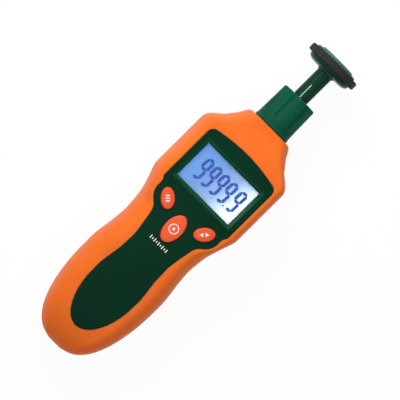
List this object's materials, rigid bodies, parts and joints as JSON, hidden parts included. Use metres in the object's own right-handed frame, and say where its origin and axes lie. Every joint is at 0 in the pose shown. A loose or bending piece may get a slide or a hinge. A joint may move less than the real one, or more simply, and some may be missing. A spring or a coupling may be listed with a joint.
{
  "type": "contact tachometer",
  "caption": "Handheld contact tachometer: waisted two-shell meter with display and three buttons, and a plug-on fluted adapter that carries a rubber-tyred surface-speed wheel.",
  "frame": {"origin": "under the middle of the whole instrument, on the surface that it lies on", "axes": "+Z out of the face, +Y along the instrument towards the wheel, +X to the right seen from the face"},
  "size_m": [0.059, 0.2106, 0.0421],
  "materials": {
    "orange_shell": "soft-touch moulded shell",
    "green_panel": "satin moulded face plate",
    "clear_pane": "clear",
    "display_glass": "display glass",
    "white_plastic": "moulded",
    "rubber_strip": "matte",
    "circuit_board": "solder mask",
    "chip_black": "moulded",
    "key_rubber": "matte",
    "orange_button": "moulded cap",
    "black_plastic": "moulded",
    "brass_barrel": "turned",
    "clear_lens": "clear",
    "battery_jacket": "printed metal jacket",
    "wire_cover": "smooth",
    "screw_steel": "zinc plated",
    "green_adapter": "moulded, satin",
    "ring_rubber": "matte",
    "bearing_steel": "ground",
    "spindle_steel": "turned",
    "white_disc": "marked",
    "tyre_rubber": "matte"
  },
  "bodies": {
    "meter": {"front_case": "orange_shell", "rear_case": "orange_shell", "face_panel": "green_panel", "display_window": "clear_pane", "lcd_glass": "display_glass", "lcd_holder": "white_plastic", "contact_strips": "rubber_strip", "main_board": "circuit_board", "board_parts": "chip_black", "key_mat": "key_rubber", "optics_holder": "black_plastic", "laser_module": "brass_barrel", "photo_sensor": "clear_lens", "nose_socket": "black_plastic", "nose_lens": "clear_lens", "battery": "battery_jacket", "battery_snap": "black_plastic", "battery_leads": "wire_cover", "case_screws": "screw_steel", "board_screws": "screw_steel"},
    "measure_key": {"measure_button": "orange_button"},
    "memory_key": {"memory_button": "orange_button"},
    "mode_key": {"mode_button": "orange_button"},
    "door": {"battery_door": "orange_shell"},
    "adapter": {"adapter_body": "green_adapter", "adapter_cap": "green_adapter", "spigot_ring": "ring_rubber", "outer_races": "bearing_steel", "bearing_balls": "bearing_steel"},
    "spindle_set": {"spindle": "spindle_steel", "inner_races": "bearing_steel", "bearing_spacer": "spindle_steel", "spindle_clip": "spindle_steel", "reflector_disc": "white_disc"},
    "wheel": {"wheel_hub": "green_adapter", "wheel_cover": "green_adapter", "wheel_tyre": "tyre_rubber"}
  },
  "joints": [
    {"name": "adapter_pull", "type": "slide", "parent": "meter", "child": "adapter", "axis": [0, 1, 0], "range_m": [0, 0.0105]},
    {"name": "wheel_spin", "type": "hinge", "parent": "adapter", "child": "spindle_set", "pos_m": [0, 0.055, 0.0215], "axis": [0, 1, 0], "continuous": true},
    {"name": "wheel_pull", "type": "slide", "parent": "spindle_set", "child": "wheel", "axis": [0, 1, 0], "range_m": [0, 0.0165]},
    {"name": "measure_press", "type": "slide", "parent": "meter", "child": "measure_key", "axis": [0, 0, -1], "range_m": [0, 0.0008], "stiffness_N_per_m": 2000},
    {"name": "memory_press", "type": "slide", "parent": "meter", "child": "memory_key", "axis": [0, 0, -1], "range_m": [0, 0.0008], "stiffness_N_per_m": 2000},
    {"name": "mode_press", "type": "slide", "parent": "meter", "child": "mode_key", "axis": [0, 0, -1], "range_m": [0, 0.0008], "stiffness_N_per_m": 2000},
    {"name": "door_slide", "type": "slide", "parent": "meter", "child": "door", "axis": [0, -1, 0], "range_m": [0, 0.066]}
  ]
}
